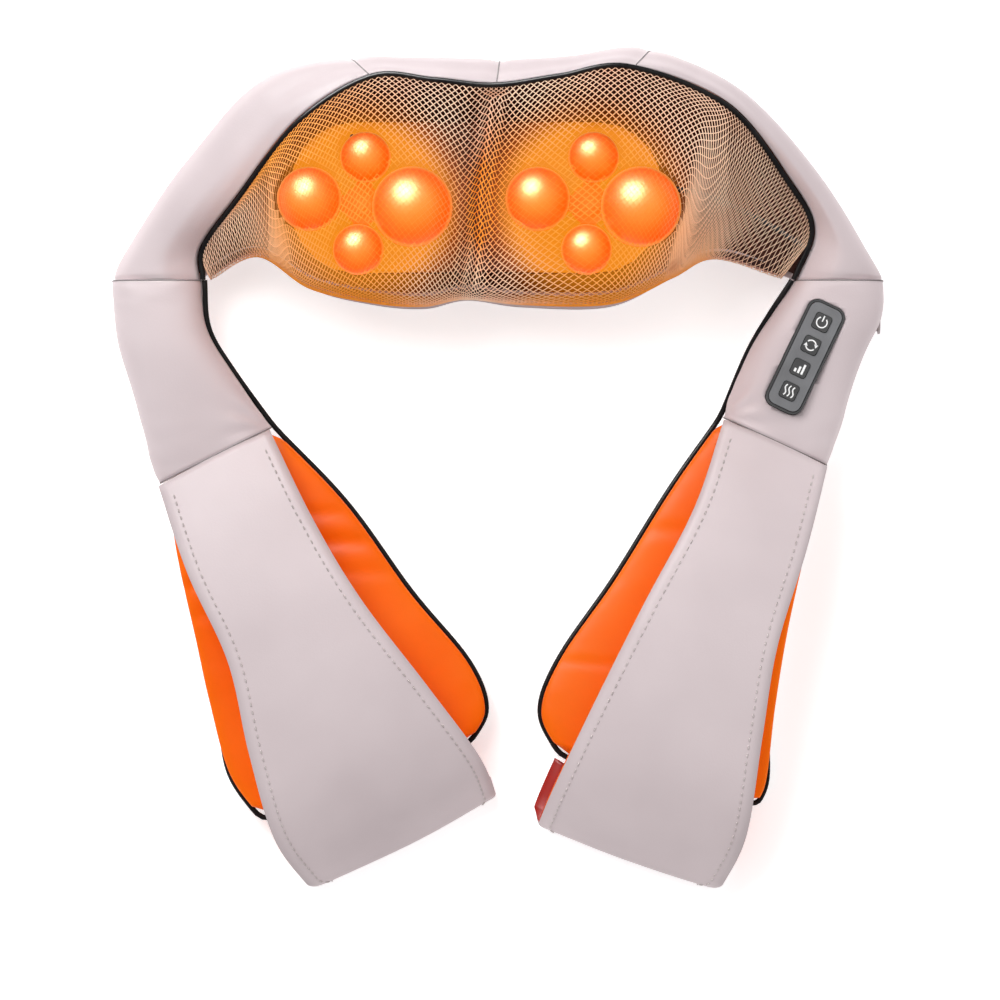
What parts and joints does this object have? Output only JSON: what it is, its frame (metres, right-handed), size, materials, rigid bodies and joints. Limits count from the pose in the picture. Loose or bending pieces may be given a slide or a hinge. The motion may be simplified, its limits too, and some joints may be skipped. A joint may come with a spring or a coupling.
{
  "type": "neck massager",
  "caption": "U-shaped shiatsu neck massager with mesh-covered rotating heads, two padded arms with hand loops and a push-button control panel.",
  "frame": {"origin": "on the table under the middle of the object, which lies on its flat back", "axes": "+Z out of the massage side, +Y towards the top of the collar, +X towards the arm with the control panel"},
  "size_m": [0.439, 0.4778, 0.1052],
  "materials": {
    "taupe_leather": "soft satin",
    "orange_leather": "soft satin",
    "mesh_fabric": "open net",
    "black_piping": "gloss",
    "head_plastic": "gloss",
    "module_plastic": "matte",
    "gear_plastic": "satin",
    "steel": "machined",
    "bronze": "sintered",
    "circuit_board": "lacquered",
    "panel_grey": "satin",
    "button_black": "satin"
  },
  "bodies": {
    "collar": {"neck_cover": "taupe_leather", "mesh_cover": "mesh_fabric", "neck_piping": "black_piping", "rear_housing": "module_plastic", "front_housing": "module_plastic", "motor": "steel", "motor_clamp": "steel", "shaft_bush_left": "bronze", "shaft_bush_right": "bronze", "output_bush_left": "bronze", "output_bush_right": "bronze", "heater_board_left": "circuit_board", "heater_board_right": "circuit_board", "collar_lead": "button_black", "housing_screw_1": "steel", "housing_screw_2": "steel", "housing_screw_3": "steel", "housing_screw_4": "steel"},
    "rotor": {"motor_shaft": "steel", "worm_left": "bronze", "worm_right": "bronze"},
    "carrier_left": {"carrier_left": "module_plastic", "carrier_nut_left": "steel", "worm_wheel_left": "gear_plastic", "output_shaft_left": "steel"},
    "carrier_right": {"carrier_right": "module_plastic", "carrier_nut_right": "steel", "worm_wheel_right": "gear_plastic", "output_shaft_right": "steel"},
    "head_large_left": {"head_large_left": "head_plastic"},
    "head_medium_left": {"head_medium_left": "head_plastic"},
    "head_small_upper_left": {"head_small_upper_left": "head_plastic"},
    "head_small_lower_left": {"head_small_lower_left": "head_plastic"},
    "head_large_right": {"head_large_right": "head_plastic"},
    "head_medium_right": {"head_medium_right": "head_plastic"},
    "head_small_upper_right": {"head_small_upper_right": "head_plastic"},
    "head_small_lower_right": {"head_small_lower_right": "head_plastic"},
    "arm_left": {"upper_arm_left": "taupe_leather", "pad_back_left": "taupe_leather", "palm_pad_left": "orange_leather", "hand_strap_left": "taupe_leather", "strap_lining_left": "orange_leather", "arm_piping_left": "black_piping"},
    "arm_right": {"upper_arm_right": "taupe_leather", "pad_back_right": "taupe_leather", "palm_pad_right": "orange_leather", "hand_strap_right": "taupe_leather", "strap_lining_right": "orange_leather", "arm_piping_right": "black_piping", "control_panel": "panel_grey", "panel_housing": "button_black", "control_board": "circuit_board", "arm_lead": "button_black", "dc_inlet": "button_black"},
    "button_power": {"button_power": "button_black"},
    "button_direction": {"button_direction": "button_black"},
    "button_intensity": {"button_intensity": "button_black"},
    "button_heat": {"button_heat": "button_black"}
  },
  "joints": [
    {"name": "carrier_left_turn", "type": "hinge", "parent": "collar", "child": "carrier_left", "pos_m": [-0.0765, 0.149, 0.027], "axis": [0, 0, 1], "continuous": true},
    {"name": "carrier_right_turn", "type": "hinge", "parent": "collar", "child": "carrier_right", "pos_m": [0.0515, 0.149, 0.027], "axis": [0, 0, 1], "continuous": true},
    {"name": "rotor_turn", "type": "hinge", "parent": "collar", "child": "rotor", "pos_m": [-0.0125, 0.174, 0.027], "axis": [1, 0, 0], "continuous": true},
    {"name": "head_large_left_spin", "type": "hinge", "parent": "carrier_left", "child": "head_large_left", "pos_m": [-0.04809, 0.14676, 0.0585], "axis": [0, 0, 1], "continuous": true},
    {"name": "head_medium_left_spin", "type": "hinge", "parent": "carrier_left", "child": "head_medium_left", "pos_m": [-0.10591, 0.15132, 0.0585], "axis": [0, 0, 1], "continuous": true},
    {"name": "head_small_upper_left_spin", "type": "hinge", "parent": "carrier_left", "child": "head_small_upper_left", "pos_m": [-0.07446, 0.17492, 0.0585], "axis": [0, 0, 1], "continuous": true},
    {"name": "head_small_lower_left_spin", "type": "hinge", "parent": "carrier_left", "child": "head_small_lower_left", "pos_m": [-0.07854, 0.12308, 0.0585], "axis": [0, 0, 1], "continuous": true},
    {"name": "head_large_right_spin", "type": "hinge", "parent": "carrier_right", "child": "head_large_right", "pos_m": [0.07991, 0.14676, 0.0585], "axis": [0, 0, 1], "continuous": true},
    {"name": "head_medium_right_spin", "type": "hinge", "parent": "carrier_right", "child": "head_medium_right", "pos_m": [0.02209, 0.15132, 0.0585], "axis": [0, 0, 1], "continuous": true},
    {"name": "head_small_upper_right_spin", "type": "hinge", "parent": "carrier_right", "child": "head_small_upper_right", "pos_m": [0.05354, 0.17492, 0.0585], "axis": [0, 0, 1], "continuous": true},
    {"name": "head_small_lower_right_spin", "type": "hinge", "parent": "carrier_right", "child": "head_small_lower_right", "pos_m": [0.04946, 0.12308, 0.0585], "axis": [0, 0, 1], "continuous": true},
    {"name": "arm_left_fold", "type": "hinge", "parent": "collar", "child": "arm_left", "pos_m": [-0.193, 0.107, 0.046], "axis": [-1, 0, 0], "range_deg": [0, 60]},
    {"name": "arm_right_fold", "type": "hinge", "parent": "collar", "child": "arm_right", "pos_m": [0.193, 0.107, 0.046], "axis": [-1, 0, 0], "range_deg": [0, 60]},
    {"name": "button_power_press", "type": "slide", "parent": "arm_right", "child": "button_power", "axis": [0, 0, -1], "range_m": [0, 0.001], "stiffness_N_per_m": 300},
    {"name": "button_direction_press", "type": "slide", "parent": "arm_right", "child": "button_direction", "axis": [0, 0, -1], "range_m": [0, 0.001], "stiffness_N_per_m": 300},
    {"name": "button_intensity_press", "type": "slide", "parent": "arm_right", "child": "button_intensity", "axis": [0, 0, -1], "range_m": [0, 0.001], "stiffness_N_per_m": 300},
    {"name": "button_heat_press", "type": "slide", "parent": "arm_right", "child": "button_heat", "axis": [0, 0, -1], "range_m": [0, 0.001], "stiffness_N_per_m": 300}
  ],
  "couplings": [
    {"joint": "carrier_right_turn", "follows": "carrier_left_turn", "ratio": 1},
    {"joint": "rotor_turn", "follows": "carrier_left_turn", "ratio": -26}
  ]
}
